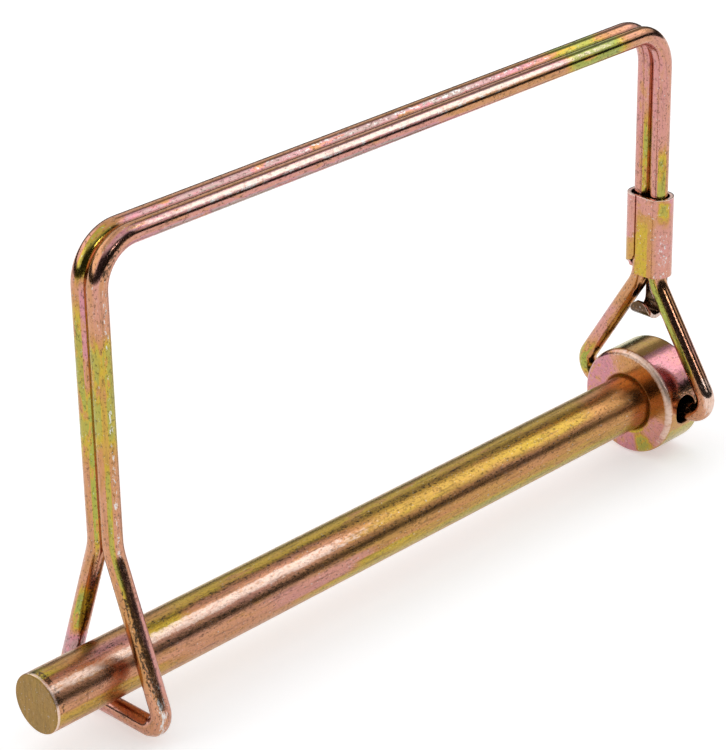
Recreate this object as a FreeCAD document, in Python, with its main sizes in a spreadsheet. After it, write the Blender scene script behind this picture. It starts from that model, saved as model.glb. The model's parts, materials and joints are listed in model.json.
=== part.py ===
import FreeCAD, Part
import math
import os
import Sketcher

# Hitch pin lock: a collared pin, a square bail of spring wire bent double, and a folded clip round its strands.
# Frame: the origin is on the pin's axis at the shoulder, where the shank leaves the head. +X runs from the
# shoulder into the head, so the pin's tip is at -X. +Z points up, to the top of the bail. Units are millimetres.

os.makedirs("parts", exist_ok=True)
doc = FreeCAD.newDocument("HitchPinLock")

SIZES = {
    # pin
    "shank_diameter": 6.35,
    "shank_length": 88.9,
    "tip_chamfer": 0.25,
    # head collar, pressed on the end of the shank
    "head_diameter": 12.7,
    "head_thickness": 6.0,
    "head_edge_round": 0.6,
    "bore_chamfer": 0.3,
    "seat_step": 0.2,
    "press_interference": 0.004,
    # wire, and its seat in the hole across the head
    "wire_diameter": 2.1,
    "wire_hole_play": 1.2,
    "wire_seat_gap": 0.13,
    "wire_seat_angle": 30.0,
    "wire_end_depth": 3.6,
    "strand_gap": 0.05,
    # V legs at the head, and the fork where the two strands meet
    "head_leg_room": 4.04,
    "head_corner_radius": 2.0,
    "head_fork_room": 8.27,
    "head_fork_radius": 5.0,
    # square bail
    "bail_height": 45.0,
    "bail_corner_radius": 4.6,
    "tip_overhang": 9.85,
    "flex_gap": 0.05,
    # loop round the tip of the pin
    "tip_fork_room": 10.27,
    "tip_fork_radius": 6.0,
    "loop_side_gap": 1.28,
    "loop_under_gap": 0.6,
    "loop_corner_radius": 2.0,
    # clip round both strands
    "clip_sheet": 0.45,
    "clip_slack": 0.2,
    "clip_height": 9.6,
    "clip_rest_drop": 0.6,
    "clip_seam_gap": 0.12,
    "clip_seam_offset": 0.8,
    "clip_flap_rise": 1.8,
    "tongue_width": 2.8,
    "hook_drop": 2.9,
    "hook_lip": 0.4,
}

sheet = doc.addObject("Spreadsheet::Sheet", "Sizes")
for row, (name, value) in enumerate(SIZES.items(), start=1):
    sheet.set(f"A{row}", name)
    sheet.set(f"B{row}", str(value))
    sheet.setAlias(f"B{row}", name)
doc.recompute()


def size(name):
    """A driving dimension, read from the sheet."""
    return float(sheet.get(name))


def bind(thing, **expressions):
    """Bind properties to the sheet. A double underscore in a keyword stands for the dot in a property's path."""
    for path, expression in expressions.items():
        thing.setExpression(path.replace("__", "."), expression)
    return thing


# ---------------------------------------------------------------------------------------------------------
# Expressions that more than one piece uses
# ---------------------------------------------------------------------------------------------------------

SHANK_RADIUS = "Sizes.shank_diameter / 2"
SEAT_RADIUS = f"({SHANK_RADIUS} - Sizes.seat_step)"
HEAD_RADIUS = "Sizes.head_diameter / 2"
WIRE_RADIUS = "Sizes.wire_diameter / 2"
HALF_PITCH = "(Sizes.wire_diameter + Sizes.strand_gap) / 2"
HOLE_RADIUS = "(Sizes.wire_diameter + Sizes.wire_hole_play) / 2"

# the wire lies against the lower back of its hole, and the bail turns about the wire's own axis there
SEAT_OFFSET = "(Sizes.wire_hole_play / 2 - Sizes.wire_seat_gap)"
HINGE_X = f"(Sizes.head_thickness / 2 + {SEAT_OFFSET} * cos(Sizes.wire_seat_angle))"
HINGE_Z = f"(-{SEAT_OFFSET} * sin(Sizes.wire_seat_angle))"

# the fork at the head: how far each leg splays, and how high it rises from the hinge axis
FORK_HEIGHT = f"({HEAD_RADIUS} + Sizes.head_fork_room)"
SPLAY = f"({HEAD_RADIUS} + Sizes.head_leg_room - {HALF_PITCH})"
RISE = f"({FORK_HEIGHT} - {HINGE_Z})"
# a bend of radius R that turns by the legs' slant starts R * tan(slant / 2) above the fork
FORK_BEND = f"(Sizes.head_fork_radius * (sqrt({SPLAY}^2 + {RISE}^2) - {RISE}) / {SPLAY})"


# ---------------------------------------------------------------------------------------------------------
# Sketched pieces: the shank and the collar are turned about X
# ---------------------------------------------------------------------------------------------------------

def origin_plane(body, role):
    """One of the body's own origin planes or axes."""
    return next(part for part in body.Origin.OriginFeatures if part.Role == role)


def profile_sketch(body, name, corners):
    """A closed outline on the XZ plane. Each corner is a pair of expressions, (along X, along Z)."""
    sketch = body.newObject("Sketcher::SketchObject", name)
    sketch.AttachmentSupport = [(origin_plane(body, "XZ_Plane"), "")]
    sketch.MapMode = "FlatFace"
    doc.recompute()
    places = [FreeCAD.Vector(*(value_of(sketch, text) for text in corner), 0) for corner in corners]
    count = len(corners)
    for i in range(count):
        sketch.addGeometry(Part.LineSegment(places[i], places[(i + 1) % count]), False)
    for i in range(count):
        sketch.addConstraint(Sketcher.Constraint("Coincident", i, 2, (i + 1) % count, 1))
    for i, corner in enumerate(corners):
        for kind, text, at in zip(("DistanceX", "DistanceY"), corner, places[i]):
            number = sketch.addConstraint(Sketcher.Constraint(kind, -1, 1, i, 1, at))
            sketch.setExpression(f"Constraints[{number}]", text)
    return sketch


def value_of(holder, text):
    """What an expression is worth now."""
    return float(holder.evalExpression(text))


def turned_body(label, corners):
    """A body turned about X from a half outline."""
    body = doc.addObject("PartDesign::Body", label)
    body.Label = label
    turned = body.newObject("PartDesign::Revolution", label + "_turned")
    turned.Profile = profile_sketch(body, label + "_outline", corners)
    turned.ReferenceAxis = (origin_plane(body, "X_Axis"), [""])
    turned.Angle = 360
    body.Tip = turned
    doc.recompute()
    return body


def cross_hole(body, label):
    """The hole drilled across the head, along Y, for both ends of the wire."""
    before = body.Shape.Volume
    sketch = body.newObject("Sketcher::SketchObject", label + "_hole_outline")
    sketch.AttachmentSupport = [(origin_plane(body, "XZ_Plane"), "")]
    sketch.MapMode = "FlatFace"
    centre = FreeCAD.Vector(size("head_thickness") / 2, 0, 0)
    radius = value_of(sketch, HOLE_RADIUS)
    sketch.addGeometry(Part.Circle(centre, FreeCAD.Vector(0, 0, 1), radius), False)
    across = sketch.addConstraint(Sketcher.Constraint("Radius", 0, radius))
    sketch.setExpression(f"Constraints[{across}]", HOLE_RADIUS)
    along = sketch.addConstraint(Sketcher.Constraint("DistanceX", -1, 1, 0, 3, centre.x))
    sketch.setExpression(f"Constraints[{along}]", "Sizes.head_thickness / 2")
    sketch.addConstraint(Sketcher.Constraint("PointOnObject", 0, 3, -1))
    hole = body.newObject("PartDesign::Pocket", label + "_hole")
    hole.Profile = sketch
    hole.SideType = "Symmetric"
    bind(hole, Length="2 * Sizes.head_diameter")
    body.Tip = hole
    doc.recompute()
    if not body.Shape.Volume < before:
        raise RuntimeError(f"the cross hole cuts nothing from {label}")
    return body


def circle_edges(shape, radius, x):
    """Names of the full circles about X with this radius, at this height along X."""
    names = []
    for i, edge in enumerate(shape.Edges, start=1):
        curve = edge.Curve
        if isinstance(curve, Part.Circle) and edge.isClosed():
            if math.isclose(curve.Radius, radius, abs_tol=1e-6) and math.isclose(curve.Center.x, x, abs_tol=1e-6):
                names.append(f"Edge{i}")
    return names


def pin_shank():
    """The round bar, with a chamfered tip, and turned down at the shoulder for the collar's seat."""
    tip = "-Sizes.shank_length"
    back = "Sizes.head_thickness"
    body = turned_body("pin_shank", [
        (tip, "0"),
        (tip, f"{SHANK_RADIUS} - Sizes.tip_chamfer"),
        (f"{tip} + Sizes.tip_chamfer", SHANK_RADIUS),
        ("0", SHANK_RADIUS),
        ("0", SEAT_RADIUS),
        (f"{back} - Sizes.tip_chamfer", SEAT_RADIUS),
        (back, f"{SEAT_RADIUS} - Sizes.tip_chamfer"),
        (back, "0"),
    ])
    return cross_hole(body, "pin_shank")


def head_collar():
    """The pressed-on head: a ring with rounded outer edges and a chamfered bore."""
    bore = f"{SEAT_RADIUS} - Sizes.press_interference"
    mouth = f"{SHANK_RADIUS} + Sizes.bore_chamfer"
    back = "Sizes.head_thickness"
    body = turned_body("head_collar", [
        ("0", mouth),
        ("0", HEAD_RADIUS),
        (back, HEAD_RADIUS),
        (back, mouth),
        (f"{back} - Sizes.bore_chamfer", bore),
        ("Sizes.bore_chamfer", bore),
    ])
    turned = body.Tip
    rounded = body.newObject("PartDesign::Fillet", "head_collar_rounds")
    edges = [name for x in (0, size("head_thickness")) for name in circle_edges(turned.Shape, size("head_diameter") / 2, x)]
    rounded.Base = (turned, edges)
    bind(rounded, Radius="Sizes.head_edge_round")
    body.Tip = rounded
    doc.recompute()
    return cross_hole(body, "head_collar")


# ---------------------------------------------------------------------------------------------------------
# Wire: a round section swept along straight runs and tangent arcs
# ---------------------------------------------------------------------------------------------------------

def rounded_path(points, radii):
    """A wire of straight runs through the points, with a tangent arc of the given radius at each inner point."""
    edges = []
    start = points[0]
    for before, corner, after, radius in zip(points, points[1:], points[2:], radii):
        back = (before - corner).normalize()
        ahead = (after - corner).normalize()
        half_angle = back.getAngle(ahead) / 2
        reach = radius / math.tan(half_angle)
        middle_way = (back + ahead).normalize()
        middle = corner + middle_way * (radius / math.sin(half_angle) - radius)
        arc_start = corner + back * reach
        arc_end = corner + ahead * reach
        edges.append(Part.LineSegment(start, arc_start).toShape())
        edges.append(Part.Arc(arc_start, middle, arc_end).toShape())
        start = arc_end
    edges.append(Part.LineSegment(start, points[-1]).toShape())
    return Part.Wire(edges)


def swept_wire(label, points, radii):
    """A round wire along the rounded path through the points."""
    path = doc.addObject("Part::Feature", label + "_path")
    path.Shape = rounded_path(points, radii)
    section = doc.addObject("Part::Circle", label + "_section")
    bind(section, Radius=WIRE_RADIUS)
    section.Placement = FreeCAD.Placement(
        points[0], FreeCAD.Rotation(FreeCAD.Vector(0, 0, 1), points[1] - points[0])
    )
    wire = doc.addObject("Part::Sweep", label)
    wire.Label = label
    wire.Sections = [section]
    wire.Spine = (path, [f"Edge{i + 1}" for i in range(len(path.Shape.Edges))])
    wire.Solid = True
    doc.recompute()
    length = path.Shape.Length
    expected = math.pi * (size("wire_diameter") / 2) ** 2 * length
    if not math.isclose(wire.Shape.Volume, expected, rel_tol=0.002):
        raise RuntimeError(f"{label} is not its section times its length")
    print(label, "wire length", round(length, 1), "bend radii", radii)
    return wire


HALF_PITCH_MM = (size("wire_diameter") + size("strand_gap")) / 2
SEAT_OFFSET_MM = size("wire_hole_play") / 2 - size("wire_seat_gap")
SEAT_ANGLE = math.radians(size("wire_seat_angle"))
HINGE_X_MM = size("head_thickness") / 2 + SEAT_OFFSET_MM * math.cos(SEAT_ANGLE)
HINGE_Z_MM = -SEAT_OFFSET_MM * math.sin(SEAT_ANGLE)
LOOP_X = size("tip_overhang") - size("shank_length")
FLEX_Z = size("bail_height") - size("bail_corner_radius")


def bail_strand(label, side):
    """One strand of the bail on the side +1 (+Y) or -1, from its end in the cross hole to the flexing corner."""
    head_radius = size("head_diameter") / 2
    y = side * HALF_PITCH_MM
    points = [
        FreeCAD.Vector(HINGE_X_MM, side * (head_radius - size("wire_end_depth")), HINGE_Z_MM),
        FreeCAD.Vector(HINGE_X_MM, side * (head_radius + size("head_leg_room")), HINGE_Z_MM),
        FreeCAD.Vector(HINGE_X_MM, y, head_radius + size("head_fork_room")),
        FreeCAD.Vector(HINGE_X_MM, y, size("bail_height")),
        FreeCAD.Vector(LOOP_X, y, size("bail_height")),
        FreeCAD.Vector(LOOP_X, y, FLEX_Z - size("flex_gap")),
    ]
    radii = [size(name) for name in ("head_corner_radius", "head_fork_radius", "bail_corner_radius", "bail_corner_radius")]
    return swept_wire(label, points, radii)


def tip_loop():
    """Both strands of the tip-side upright and the loop that passes round under the tip of the pin.

    Each leg of the V runs from the fork so that it passes the shank at the side gap.
    """
    wire_radius = size("wire_diameter") / 2
    shank_radius = size("shank_diameter") / 2
    fork_z = shank_radius + size("tip_fork_room")
    passing = shank_radius + size("loop_side_gap") + wire_radius
    slant = math.asin(passing / math.hypot(HALF_PITCH_MM, fork_z)) - math.atan2(HALF_PITCH_MM, fork_z)
    bottom_z = -(shank_radius + size("loop_under_gap") + wire_radius)
    bottom_y = HALF_PITCH_MM + (fork_z - bottom_z) * math.tan(slant)
    top_z = FLEX_Z - 2 * size("flex_gap")
    half = [(HALF_PITCH_MM, top_z), (HALF_PITCH_MM, fork_z), (bottom_y, bottom_z)]
    outline = [(-y, z) for y, z in half] + [(y, z) for y, z in reversed(half)]
    points = [FreeCAD.Vector(LOOP_X, y, z) for y, z in outline]
    bends = [size("tip_fork_radius"), size("loop_corner_radius")]
    return swept_wire("tip_loop", points, bends + bends[::-1])


# ---------------------------------------------------------------------------------------------------------
# Clip: primitives bound to the sheet
# ---------------------------------------------------------------------------------------------------------

CLIP_INNER = f"({WIRE_RADIUS} + Sizes.clip_slack)"
CLIP_OUTER = f"({CLIP_INNER} + Sizes.clip_sheet)"
CLIP_BASE = f"({FORK_HEIGHT} + {FORK_BEND} - Sizes.clip_rest_drop)"
HOOK_Z = f"({FORK_HEIGHT} - Sizes.hook_drop)"


def box(name, length, width, height, x, y, z):
    """A box from its low corner, all sizes and places as expressions."""
    made = doc.addObject("Part::Box", name)
    return bind(
        made, Length=length, Width=width, Height=height,
        Placement__Base__x=x, Placement__Base__y=y, Placement__Base__z=z,
    )


def rod(name, radius, height, x, y, z, along_y=False):
    """A cylinder along Z, or along +Y, from its base centre."""
    made = doc.addObject("Part::Cylinder", name)
    if along_y:
        made.Placement = FreeCAD.Placement(FreeCAD.Vector(), FreeCAD.Rotation(FreeCAD.Vector(1, 0, 0), -90))
    return bind(
        made, Radius=radius, Height=height,
        Placement__Base__x=x, Placement__Base__y=y, Placement__Base__z=z,
    )


def joined(name, pieces):
    """The union of the pieces."""
    made = doc.addObject("Part::MultiFuse", name)
    made.Shapes = pieces
    made.Refine = True
    return made


def cut(name, base, tool):
    """The base less the tool."""
    made = doc.addObject("Part::Cut", name)
    made.Base = base
    made.Tool = tool
    return made


def obround(name, radius, z, height):
    """An upright prism round both strands: two half circles and the flat between them."""
    ends = [
        rod(f"{name}_end_{i}", radius, height, HINGE_X, f"{sign}{HALF_PITCH}", z)
        for i, sign in enumerate(("", "-"))
    ]
    flat = box(
        f"{name}_flat", f"2 * {radius}", f"2 * {HALF_PITCH}", height,
        f"{HINGE_X} - {radius}", f"-{HALF_PITCH}", z,
    )
    return joined(name, [flat] + ends)


def strand_clip():
    """The sheet wrapped round both strands with a seam in front, and the tongue that hooks under their fork."""
    wrap = cut(
        "clip_wrap",
        obround("clip_outside", CLIP_OUTER, CLIP_BASE, "Sizes.clip_height"),
        obround("clip_inside", CLIP_INNER, f"{CLIP_BASE} - 1", "Sizes.clip_height + 2"),
    )
    seam = box(
        "clip_seam", f"{CLIP_OUTER}", "Sizes.clip_seam_gap", "Sizes.clip_height + 2",
        f"{HINGE_X} - {CLIP_OUTER} - Sizes.clip_slack", "Sizes.clip_seam_offset", f"{CLIP_BASE} - 1",
    )
    # the free flap stops short of the wrap's lower edge
    flap_end = box(
        "clip_flap_end", f"{CLIP_OUTER}", f"{CLIP_OUTER} + {HALF_PITCH}", "Sizes.clip_flap_rise + 1",
        f"{HINGE_X} - {CLIP_OUTER}", "Sizes.clip_seam_offset", f"{CLIP_BASE} - 1",
    )
    low_y = "-Sizes.tongue_width / 2"
    width = "Sizes.tongue_width"
    strip = box(
        "tongue_strip", "Sizes.clip_sheet", width, f"{CLIP_BASE} + Sizes.clip_height / 2 - {HOOK_Z}",
        f"{HINGE_X} + {CLIP_INNER}", low_y, HOOK_Z,
    )
    curl = cut(
        "tongue_curl",
        rod("curl_outside", CLIP_OUTER, width, HINGE_X, low_y, HOOK_Z, along_y=True),
        rod("curl_inside", CLIP_INNER, width, HINGE_X, low_y, HOOK_Z, along_y=True),
    )
    above = box(
        "above_curl", f"2 * {CLIP_OUTER}", width, CLIP_OUTER, f"{HINGE_X} - {CLIP_OUTER}", low_y, HOOK_Z,
    )
    lip = box(
        "tongue_lip", "Sizes.clip_sheet", width, "Sizes.hook_lip",
        f"{HINGE_X} - {CLIP_OUTER}", low_y, HOOK_Z,
    )
    tongue = joined("tongue", [strip, cut("tongue_bend", curl, above), lip])
    open_wrap = cut("clip_open", cut("clip_seamed", wrap, seam), flap_end)
    clip = joined("strand_clip", [open_wrap, tongue])
    clip.Label = "strand_clip"
    doc.recompute()
    return clip


# ---------------------------------------------------------------------------------------------------------
# Build, check and write
# ---------------------------------------------------------------------------------------------------------

pieces = [
    pin_shank(),
    head_collar(),
    bail_strand("bail_strand_left", 1),
    bail_strand("bail_strand_right", -1),
    tip_loop(),
    strand_clip(),
]
doc.recompute()

for thing in doc.Objects:
    if "Invalid" in thing.State or "Error" in thing.State:
        raise RuntimeError(f"{thing.Name} failed to build: {thing.State}")
for piece in pieces:
    shape = piece.Shape
    if shape.isNull() or not shape.isValid() or len(shape.Solids) != 1:
        raise RuntimeError(f"{piece.Label} is not one valid solid")
    shape.exportStep(f"parts/{piece.Label}.step")
    print(piece.Label, "volume", round(shape.Volume, 3), "box", shape.BoundBox)
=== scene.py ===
"""Looks of a hitch pin lock: a plated pin with a pressed head, a bail of doubled wire and a sheet clip.

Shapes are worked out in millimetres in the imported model's frame: the pin's axis is X with its tip at -X, and
Z points up to the top of the bail. Each mesh is written in metres. Angles round a piece are in degrees.
"""
import json
import logging
import math
from collections.abc import Callable, Sequence
from dataclasses import dataclass, field
from enum import Enum
from typing import Any

import bmesh
import bpy
import numpy as np
from mathutils import Matrix, Vector

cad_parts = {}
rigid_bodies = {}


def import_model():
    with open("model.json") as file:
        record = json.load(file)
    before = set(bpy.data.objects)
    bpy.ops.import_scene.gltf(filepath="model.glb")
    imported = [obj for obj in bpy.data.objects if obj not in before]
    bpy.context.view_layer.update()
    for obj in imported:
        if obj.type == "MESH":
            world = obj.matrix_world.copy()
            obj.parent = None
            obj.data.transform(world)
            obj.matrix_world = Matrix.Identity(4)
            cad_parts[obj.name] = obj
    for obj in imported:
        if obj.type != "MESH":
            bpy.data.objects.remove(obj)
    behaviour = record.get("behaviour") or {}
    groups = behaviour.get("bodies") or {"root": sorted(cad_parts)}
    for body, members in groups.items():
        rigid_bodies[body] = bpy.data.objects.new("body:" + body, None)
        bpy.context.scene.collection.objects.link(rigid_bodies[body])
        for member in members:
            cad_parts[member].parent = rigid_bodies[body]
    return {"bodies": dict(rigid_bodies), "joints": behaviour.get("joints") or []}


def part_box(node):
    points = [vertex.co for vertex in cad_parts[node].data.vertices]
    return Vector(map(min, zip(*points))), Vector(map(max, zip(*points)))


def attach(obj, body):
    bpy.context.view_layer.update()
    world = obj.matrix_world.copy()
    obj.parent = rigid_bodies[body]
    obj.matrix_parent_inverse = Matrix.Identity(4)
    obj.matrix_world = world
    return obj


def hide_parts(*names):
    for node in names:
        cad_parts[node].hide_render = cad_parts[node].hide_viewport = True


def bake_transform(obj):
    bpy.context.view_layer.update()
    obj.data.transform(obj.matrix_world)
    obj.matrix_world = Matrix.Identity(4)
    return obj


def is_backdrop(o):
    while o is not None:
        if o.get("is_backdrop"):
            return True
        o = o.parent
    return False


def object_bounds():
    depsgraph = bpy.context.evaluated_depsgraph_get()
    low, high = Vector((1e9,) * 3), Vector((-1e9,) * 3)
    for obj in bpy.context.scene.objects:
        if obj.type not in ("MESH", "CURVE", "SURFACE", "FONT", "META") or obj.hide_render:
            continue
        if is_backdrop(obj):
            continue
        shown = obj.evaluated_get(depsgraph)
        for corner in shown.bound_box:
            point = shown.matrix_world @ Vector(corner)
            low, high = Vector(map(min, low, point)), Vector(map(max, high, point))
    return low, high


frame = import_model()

LOG = logging.getLogger("hitch_pin_lock")
METRE = 1000.0
TINY = 1e-6

Colour = tuple[float, float, float, float]


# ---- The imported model's sizes ----

def node_box(node: str) -> tuple[np.ndarray, np.ndarray]:
    """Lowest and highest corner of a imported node, in millimetres."""
    low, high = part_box(node)
    return np.array(low) * METRE, np.array(high) * METRE


def joint_place(name: str) -> np.ndarray:
    """Where a packed hinge's axis lies, in millimetres."""
    joint = next(joint for joint in frame["joints"] if joint["name"] == name)
    return np.array(joint["pos_m"]) * METRE


# ---- Shader maths ----

def maths(operation: str, reflected: bool = False) -> Callable[..., "Signal"]:
    """Makes a method of Signal that adds a Math node.

    Args:
        operation: The node's operation.
        reflected: Whether the values swap places, as 1 - mask needs.

    Returns:
        The method.
    """

    def method(self: "Signal", *others: "Signal | float") -> "Signal":
        """Adds the node for this signal and the others."""
        values = (self, *others)[::-1] if reflected else (self, *others)
        return self.graph.add("Math", {"operation": operation}, dict(enumerate(values)))

    return method


class Signal:
    """One output socket of a node tree. Arithmetic on signals adds the tree's Math nodes.

    Angles are in radians. bearing is the angle of the point with this height and the other breadth, cycle is
    what is left after the last whole number, and most is the larger of two.
    """

    __add__ = __radd__ = maths("ADD")
    __sub__ = maths("SUBTRACT")
    __rsub__ = maths("SUBTRACT", reflected=True)
    __mul__ = __rmul__ = maths("MULTIPLY")
    __truediv__ = maths("DIVIDE")
    __abs__ = maths("ABSOLUTE")
    cosine = maths("COSINE")
    sine = maths("SINE")
    bearing = maths("ARCTAN2")
    cycle = maths("FRACT")
    most = maths("MAXIMUM")

    def __init__(self, graph: "Graph", socket: bpy.types.NodeSocket) -> None:
        """Wraps a socket of the graph."""
        self.graph = graph
        self.socket = socket

    def __neg__(self) -> "Signal":
        """Negative."""
        return self * -1.0

    def step(self, start: float, end: float) -> "Signal":
        """A smooth rise from 0 at start to 1 at end. With start above end it falls instead."""
        low, high = min(start, end), max(start, end)
        inputs = {"Value": self, "From Min": low, "From Max": high}
        rise = self.graph.add("MapRange", {"interpolation_type": "SMOOTHSTEP"}, inputs)
        return rise if start < end else 1.0 - rise

    def towards(self, middle: float, outer: float, inner: float) -> "Signal":
        """1 where this angle is within inner degrees of the middle, falling to 0 at outer degrees."""
        limits = (math.cos(math.radians(edge)) for edge in (outer, inner))
        return (self - math.radians(middle)).cosine().step(*limits)


class Graph:
    """A node tree under construction."""

    def __init__(self, tree: bpy.types.NodeTree) -> None:
        """Starts from an emptied tree."""
        tree.nodes.clear()
        self.tree = tree

    def add(
        self,
        kind: str,
        settings: dict[str, Any] | None = None,
        inputs: dict[str | int, Any] | None = None,
        output: int | str = 0,
    ) -> Signal:
        """Adds any node.

        Args:
            kind: The node's type without its ShaderNode prefix.
            settings: Properties that are set first. "stops" holds a ramp's (place, colour) pairs.
            inputs: Values or signals by socket name or number.
            output: The socket of the signal that is returned.

        Returns:
            The chosen output.
        """
        node = self.tree.nodes.new("ShaderNode" + kind)
        for name, value in (settings or {}).items():
            if name == "stops":
                self._set_stops(node.color_ramp, value)
            else:
                setattr(node, name, value)
        for name, value in (inputs or {}).items():
            if isinstance(value, Signal):
                self.tree.links.new(value.socket, node.inputs[name])
            else:
                node.inputs[name].default_value = value
        return Signal(self, node.outputs[output])

    @staticmethod
    def _set_stops(ramp: bpy.types.ColorRamp, stops: Sequence[tuple[float, Colour]]) -> None:
        """Gives a ramp its stops."""
        while len(ramp.elements) < len(stops):
            ramp.elements.new(0.5)
        for element, (place, colour) in zip(ramp.elements, stops):
            element.position = place
            element.color = colour

    def mix(self, share: Signal | float, first: Signal | Colour, second: Signal | Colour) -> Signal:
        """A colour part of the way from the first to the second."""
        return self.add("Mix", {"data_type": "RGBA"}, {0: share, 6: first, 7: second}, 2)

    def scale(self, vector: Signal, factors: tuple[float, float, float]) -> Signal:
        """A vector stretched along each axis."""
        return self.add("VectorMath", {"operation": "MULTIPLY"}, {0: vector, 1: factors})

    def noise(self, vector: Signal, scale: float, detail: float = 2.0, roughness: float = 0.5) -> Signal:
        """Noise from 0 to 1 over a vector."""
        inputs = {"Vector": vector, "Scale": scale, "Detail": detail, "Roughness": roughness}
        return self.add("TexNoise", {}, inputs)

    def output(self, kind: str, shader: Signal) -> None:
        """Adds the tree's output node, of the kind OutputMaterial or OutputWorld."""
        node = self.tree.nodes.new("ShaderNode" + kind)
        self.tree.links.new(shader.socket, node.inputs["Surface"])


# ---- Plating ----

class Film(float, Enum):
    """Hues of the passivated zinc in the order in which its film shows them as it thickens.

    The order is a cycle: past MAUVE it starts again at MAUVE and goes on to green.
    """

    GREEN = 0.10
    LIME = 0.18
    OLIVE = 0.27
    YELLOW = 0.36
    GOLD = 0.46
    COPPER = 0.57
    SALMON = 0.67
    PINK = 0.78
    MAGENTA = 0.88
    MAUVE = 1.0


MAUVE_FILM: Colour = (0.43, 0.33, 0.29, 1.0)
GOLD_FILM: Colour = (0.56, 0.32, 0.085, 1.0)
COPPER_FILM: Colour = (0.56, 0.27, 0.105, 1.0)
FILM_COLOURS: tuple[tuple[float, Colour], ...] = (
    (0.0, MAUVE_FILM),
    (Film.GREEN, (0.31, 0.34, 0.14, 1.0)),
    (Film.LIME, (0.36, 0.39, 0.075, 1.0)),
    (Film.OLIVE, (0.43, 0.38, 0.085, 1.0)),
    (Film.YELLOW, (0.58, 0.40, 0.05, 1.0)),
    (Film.GOLD, GOLD_FILM),
    (Film.COPPER, COPPER_FILM),
    (Film.SALMON, (0.60, 0.29, 0.165, 1.0)),
    (Film.PINK, (0.62, 0.29, 0.235, 1.0)),
    (Film.MAGENTA, (0.60, 0.25, 0.29, 1.0)),
    (Film.MAUVE, MAUVE_FILM),
)
BARE_ZINC: Colour = (0.72, 0.71, 0.69, 1.0)
# Pale film where edges are rubbed thin; also the colour of painted highlights.
WORN_FILM_AND_HIGHLIGHT: Colour = (0.86, 0.66, 0.56, 1.0)
# Dark of grime, pits and drawn lines; also the colour of painted shade and painted dark reflections.
GRIME_AND_SHADE_COLOUR: Colour = (0.075, 0.048, 0.03, 1.0)
DULL_OLIVE: Colour = (0.29, 0.185, 0.06, 1.0)
# Near black of painted shade over recesses that little light reaches.
SHADE: Colour = (0.012, 0.008, 0.006, 1.0)
# How far the film's thickness moves, as shares of a plating's drift: at large, on a hue's patch, in ripples.
WANDER, HUE_WANDER, RIPPLE = 2.4, 0.8, 0.7
# What sawn and matt places add to the roughness.
SAWN_DULLNESS, MATT_DULLNESS = 0.2, 0.4


@dataclass(frozen=True)
class Patch:
    """A stretch of a piece's surface.

    along and reach are its centre and half length in millimetres, side and spread its centre and half width
    round the piece in degrees. A spread of 180 goes all the way round. fade is the share of the half length
    over which it fades out, and weight how much it counts.
    """

    along: float
    reach: float
    side: float = 0.0
    spread: float = 180.0
    fade: float = 0.9
    weight: float = 1.0

    def mask(self, place: "Place") -> Signal:
        """The patch's weight on it, fading to 0 past its edge."""
        near = (abs(place.along - self.along) / self.reach).step(1.0 + self.fade / 2, 1.0 - self.fade / 2)
        near = near * self.weight
        if self.spread >= 180.0:
            return near
        outer, inner = (1.0 + self.fade / 2) * self.spread, (1.0 - self.fade / 2) * self.spread
        return near * place.side.towards(self.side, min(179.0, outer), inner)


@dataclass(frozen=True)
class Hue:
    """A patch where the film has one thickness."""

    film: float
    patch: Patch


def hues(*rows: tuple[float, ...]) -> tuple[Hue, ...]:
    """Hues from rows of a film and its patch's values, in the order of Patch's fields."""
    return tuple(Hue(film, Patch(*values)) for film, *values in rows)


@dataclass(frozen=True)
class Mark:
    """How grime, wear, painted shade and painted highlights break up: a patch lifts the grain, and the mark
    shows between start and end.
    """

    lift: float
    start: float
    end: float
    cover: float
    colour: Colour

    def over(self, colour: Signal, place: "Place", grain: Signal, patches: Sequence[Patch]) -> Signal:
        """The colour with this mark on each of the patches."""
        for patch in patches:
            share = (grain + patch.mask(place) * self.lift).step(self.start, self.end) * self.cover
            colour = colour.graph.mix(share, colour, self.colour)
        return colour


# Speckled dark: grime, and painted shade and painted dark reflections.
SPECKLED_GRIME_AND_SHADE = Mark(0.3, 0.74, 0.84, 0.92, GRIME_AND_SHADE_COLOUR)
# Pale: rubbed film, and painted highlights.
RUBBED_THIN_AND_HIGHLIGHT = Mark(0.5, 0.72, 1.06, 0.8, WORN_FILM_AND_HIGHLIGHT)
RUBBED_THROUGH = Mark(0.3, 0.83, 0.90, 0.9, BARE_ZINC)


@dataclass(frozen=True)
class Place:
    """Where a point of a surface is: along the piece in millimetres, round it in radians, and in space."""

    along: Signal
    side: Signal
    grain: Signal

    def noise(self, squeeze: float, scale: float, detail: float, roughness: float) -> Signal:
        """Noise from 0 to 1 in space, drawn out along the piece by one over squeeze."""
        graph = self.grain.graph
        return graph.noise(graph.scale(self.grain, (squeeze, 1.0, 1.0)), scale, detail, roughness)


class Mapping(Enum):
    """How a piece's surface is measured."""

    ROUND_X = "round the X axis, from the mesh's own coordinates"
    SURFACE = "from the surface map: along, and round in turns"


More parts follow.
